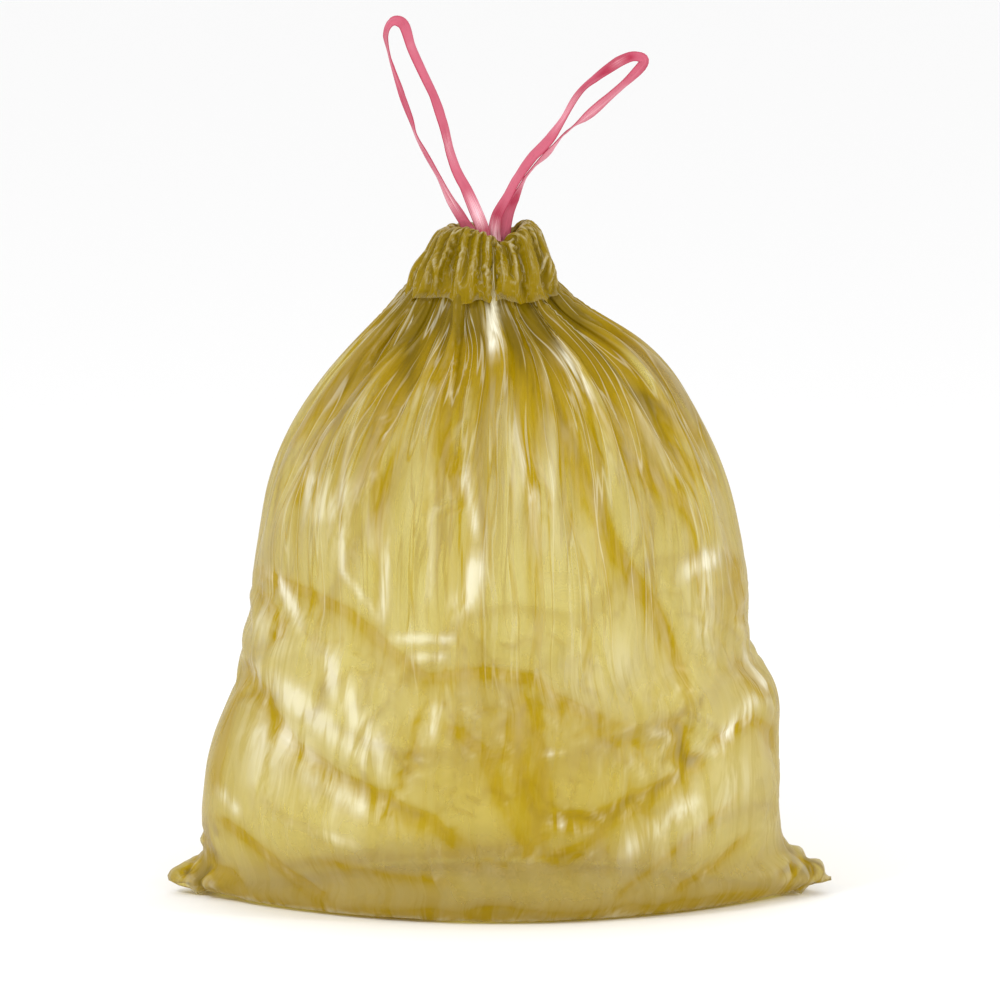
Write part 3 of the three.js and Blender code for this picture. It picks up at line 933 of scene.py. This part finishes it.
def film_material(name, settings, crinkle, bump, painted_glints):
    """See-through tinted film. Each layer takes its share of the light that passes it.

    bump is how deep its crinkles look, and the last argument how strongly the highlight painted along
    one side of each pleat shows. The colour also holds painted highlights, and partly painted shade
    where many layers bunch."""
    material = bpy.data.materials.new(name)
    material.use_nodes = True
    tree = material.node_tree
    tree.nodes.clear()
    link = tree.links.new
    output = node(tree, "ShaderNodeOutputMaterial", (1100, 0))
    layers, painted_highlight, pleated = (
        node(tree, "ShaderNodeAttribute", (-1300, 200 * row), attribute_name=mark).outputs["Fac"]
        for row, mark in enumerate(("layers", "painted_highlight", "pleated")))
    wrinkle = node(tree, "ShaderNodeGroup", (-1100, -500))
    wrinkle.node_tree = crinkle
    wrinkle.inputs["Strength"].default_value = bump
    wrinkle.inputs["Height"].default_value = 0.0012
    link(pleated, wrinkle.inputs["Pleated"])
    mottle = wrinkle.outputs["Mottle"]

    # How many layers the light passes: one wall, more at folds and more where it is seen edge on
    pleats = drawn_out_noise(
        tree, (62.0, 2.6), (-1700, 400), Detail=2.5, Roughness=0.55, Distortion=0.25)
    link(pleats, wrinkle.inputs["Pleats"])
    line = ridges(tree, pleats, 0.50, 0.030, (-1500, 400))
    dark = worked_out(tree, "MULTIPLY", (-1000, 400), line, pleated)
    layers = worked_out(tree, "ADD", (-850, 250), dark, layers)
    uneven = drawn_out_noise(tree, (70.0, 7.0), (-1100, 100), Detail=2.0, Roughness=0.6)
    wall = mapped(tree, uneven, (0.35, 0.65), (0.88, 1.14), (-900, 50))
    edge = node(tree, "ShaderNodeLayerWeight", (-1100, -150), Blend=0.35).outputs["Facing"]
    wall = worked_out(tree, "MULTIPLY_ADD", (-800, -100), edge, 1.5, wall)
    count = worked_out(tree, "ADD", (-700, 200), layers, wall)

    # What they let through, and what share of the light they scatter
    tint = node(tree, "ShaderNodeCombineColor", (-200, 300))
    for row, (share, channel) in enumerate(zip(settings.tint, ("Red", "Green", "Blue"))):
        link(worked_out(tree, "POWER", (-450, 400 - 150 * row), share, count), tint.inputs[channel])
    clear = worked_out(tree, "POWER", (-450, -50), 1 - settings.cover, count)
    covered = worked_out(tree, "MULTIPLY_ADD", (-250, -50), clear, -1.0, 1.0, clamp=True)
    # Painted highlights also hide more of what lies behind
    covered = worked_out(tree, "MULTIPLY_ADD", (-250, -200), painted_highlight, 0.30, covered)
    factor = worked_out(tree, "MULTIPLY_ADD", (0, -200), edge, 0.12, covered, clamp=True)

    # The colour that they scatter: pale, deep at folds, dark where bunched (partly painted shade), and
    # the painted highlight colour where highlights and glints beside the pleats are painted
    folded = worked_out(tree, "MULTIPLY_ADD", (-450, -450), layers, 0.7, 0.0, clamp=True)
    colour = colour_between(tree, folded, settings.pale, settings.deep, (-200, -450))
    # Dark where the layers bunch: the deeper colour of much film, and partly painted shade in the
    # gathered neck
    bunched = worked_out(tree, "MULTIPLY_ADD", (-450, -560), layers, 0.24, -0.55, clamp=True)
    colour = colour_between(tree, bunched, colour, settings.dark, (-80, -560))
    # Painted highlights, streaked along the film, plus the glints painted beside the pleats
    highlight_streaks = mapped(tree, mottle, (0.38, 0.62), (0.0, 1.8), (-700, -700))
    streaked_highlight = worked_out(tree, "MULTIPLY", (-550, -600), painted_highlight, highlight_streaks)
    highlight_share = worked_out(
        tree, "MULTIPLY_ADD", (-450, -650), wrinkle.outputs["Bright"], painted_glints, streaked_highlight, clamp=True)
    colour = colour_between(tree, highlight_share, colour, settings.bright, (50, -450))

    through = node(tree, "ShaderNodeBsdfTransparent", (500, 150))
    link(tint.outputs["Color"], through.inputs["Color"])
    face = node(tree, "ShaderNodeBsdfPrincipled", (500, -50))
    face.inputs["Specular IOR Level"].default_value = 0.14
    smoothest, roughest = settings.roughness - 0.08, settings.roughness + 0.10
    rough = mapped(tree, mottle, (0.3, 0.7), (smoothest, roughest), (250, -250))
    link(rough, face.inputs["Roughness"])
    link(colour, face.inputs["Base Color"])
    link(wrinkle.outputs["Normal"], face.inputs["Normal"])
    mixed = node(tree, "ShaderNodeMixShader", (850, 50))
    link(factor, mixed.inputs["Fac"])
    link(through.outputs["BSDF"], mixed.inputs[1])
    link(face.outputs["BSDF"], mixed.inputs[2])
    link(mixed.outputs["Shader"], output.inputs["Surface"])
    return material


def shared_crinkle():
    """The crinkle group, made once."""
    return bpy.data.node_groups.get("Film crinkle") or film_crinkle_group()


def dress(obj, material, body):
    """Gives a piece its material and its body."""
    obj.data.materials.clear()
    obj.data.materials.append(material)
    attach(obj, body)


# Operators

class BAG_OT_film(bpy.types.Operator):
    """Wrap the fill in the crumpled film"""

    bl_idname = "bag.film"
    bl_label = "Film"

    def execute(self, context):
        settings = context.scene.bag_film
        film = new_object("film", wrapped_sheet(*crumpled_film(settings)))
        material = film_material("Olive film", settings, shared_crinkle(), 0.3, 0.4)
        dress(film, material, "root")
        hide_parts("bag_film")
        return {"FINISHED"}


class BAG_OT_hem(bpy.types.Operator):
    """Gather the hem round the tapes"""

    bl_idname = "bag.hem"
    bl_label = "Hem"

    def execute(self, context):
        settings = context.scene.bag_hem
        generator = np.random.default_rng(11)
        hem = new_object("hem", wrapped_sheet(*gathered_hem(settings, generator)))
        sheet = context.scene.bag_film
        dress(hem, film_material("Olive hem", sheet, shared_crinkle(), 0.4, 0.15), "root")
        return {"FINISHED"}


class BAG_OT_tapes(bpy.types.Operator):
    """Sweep the two drawtapes along their routes"""

    bl_idname = "bag.tapes"
    bl_label = "Drawtapes"

    def execute(self, context):
        settings = context.scene.bag_tapes
        material = film_material("Red tape", settings, shared_crinkle(), 0.2, 0.1)
        for side, route in (("left", LEFT_ROUTE), ("right", RIGHT_ROUTE)):
            generator = np.random.default_rng(len(route))
            tape = swept_tape("tape_" + side, route, settings, generator)
            dress(tape, material, "root")
            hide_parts("drawtape_" + side)
        return {"FINISHED"}


class BAG_OT_stage(bpy.types.Operator):
    """Lay the floor, light it and set the camera"""

    bl_idname = "bag.stage"
    bl_label = "Stage"

    def execute(self, context):
        settings = context.scene.bag_stage
        build_stage(context.scene, settings)
        return {"FINISHED"}


def build_stage(scene, settings):
    """A pale floor, a white surround, three soft lights and the camera."""
    bm = bmesh.new()
    bmesh.ops.create_grid(bm, x_segments=1, y_segments=1, size=40)
    floor = new_object("floor", bm)
    paint = bpy.data.materials.new("Pale floor")
    paint.use_nodes = True
    coat = paint.node_tree.nodes["Principled BSDF"]
    coat.inputs["Base Color"].default_value = (0.95, 0.95, 0.95, 1)
    coat.inputs["Roughness"].default_value = 0.9
    floor.data.materials.append(paint)
    world = bpy.data.worlds.new("Surround")
    world.use_nodes = True
    sky = world.node_tree.nodes["Background"]
    sky.inputs["Color"].default_value = (1, 1, 1, 1)
    sky.inputs["Strength"].default_value = 1.0
    scene.world = world
    for name, place, aim, size, power in (
            ("key light", (-1.3, -1.5, 1.9), (0, 0, 0.25), 0.4, 20),
            ("side light", (1.7, -0.8, 1.0), (0, 0, 0.25), 0.3, 9),
            ("low light", (0.5, -2.2, 0.9), (0, 0, 0.2), 0.25, 5)):
        lamp = bpy.data.lights.new(name, "AREA")
        lamp.size = size
        lamp.energy = power
        light = bpy.data.objects.new(name, lamp)
        light.location = place
        light.rotation_euler = (Vector(aim) - Vector(place)).to_track_quat("-Z", "Y").to_euler()
        scene.collection.objects.link(light)
    lens = bpy.data.cameras.new("camera")
    lens.angle = 2 * math.atan(settings.view_width / 2 / settings.distance)
    camera = bpy.data.objects.new("camera", lens)
    back = settings.distance * math.cos(settings.elevation)
    height = settings.view_height + settings.distance * math.sin(settings.elevation)
    camera.location = (0, -back, height)
    camera.rotation_euler = (math.pi / 2 - settings.elevation, 0, 0)
    scene.collection.objects.link(camera)
    scene.camera = camera
    scene.view_settings.view_transform = "Standard"
    scene.cycles.transparent_max_bounces = 16


class BAG_PT_panel(bpy.types.Panel):
    """The bag's pieces, in the order that they are made"""

    bl_idname = "BAG_PT_panel"
    bl_label = "Garbage Bag"
    bl_space_type = "VIEW_3D"
    bl_region_type = "UI"
    bl_category = "Garbage Bag"

    def draw(self, context):
        for group, operator in (
                ("bag_stage", "bag.stage"), ("bag_film", "bag.film"),
                ("bag_hem", "bag.hem"), ("bag_tapes", "bag.tapes")):
            box = self.layout.box()
            settings = getattr(context.scene, group)
            for name in settings.__annotations__:
                box.prop(settings, name)
            box.operator(operator)


GROUPS = {
    "bag_film": FilmSettings,
    "bag_hem": HemSettings,
    "bag_tapes": TapeSettings,
    "bag_stage": StageSettings,
}
CLASSES = [BAG_OT_film, BAG_OT_hem, BAG_OT_tapes, BAG_OT_stage, BAG_PT_panel]


def register():
    """Registers the groups of settings and the classes."""
    for name, group in GROUPS.items():
        bpy.utils.register_class(group)
        setattr(bpy.types.Scene, name, PointerProperty(type=group))
    for cls in CLASSES:
        bpy.utils.register_class(cls)


def unregister():
    """Takes them away again."""
    for cls in reversed(CLASSES):
        bpy.utils.unregister_class(cls)
    for name, group in GROUPS.items():
        delattr(bpy.types.Scene, name)
        bpy.utils.unregister_class(group)


def main():
    """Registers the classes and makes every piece."""
    register()
    bpy.ops.bag.stage()
    bpy.ops.bag.film()
    bpy.ops.bag.hem()
    bpy.ops.bag.tapes()


if __name__ == "__main__":
    main()
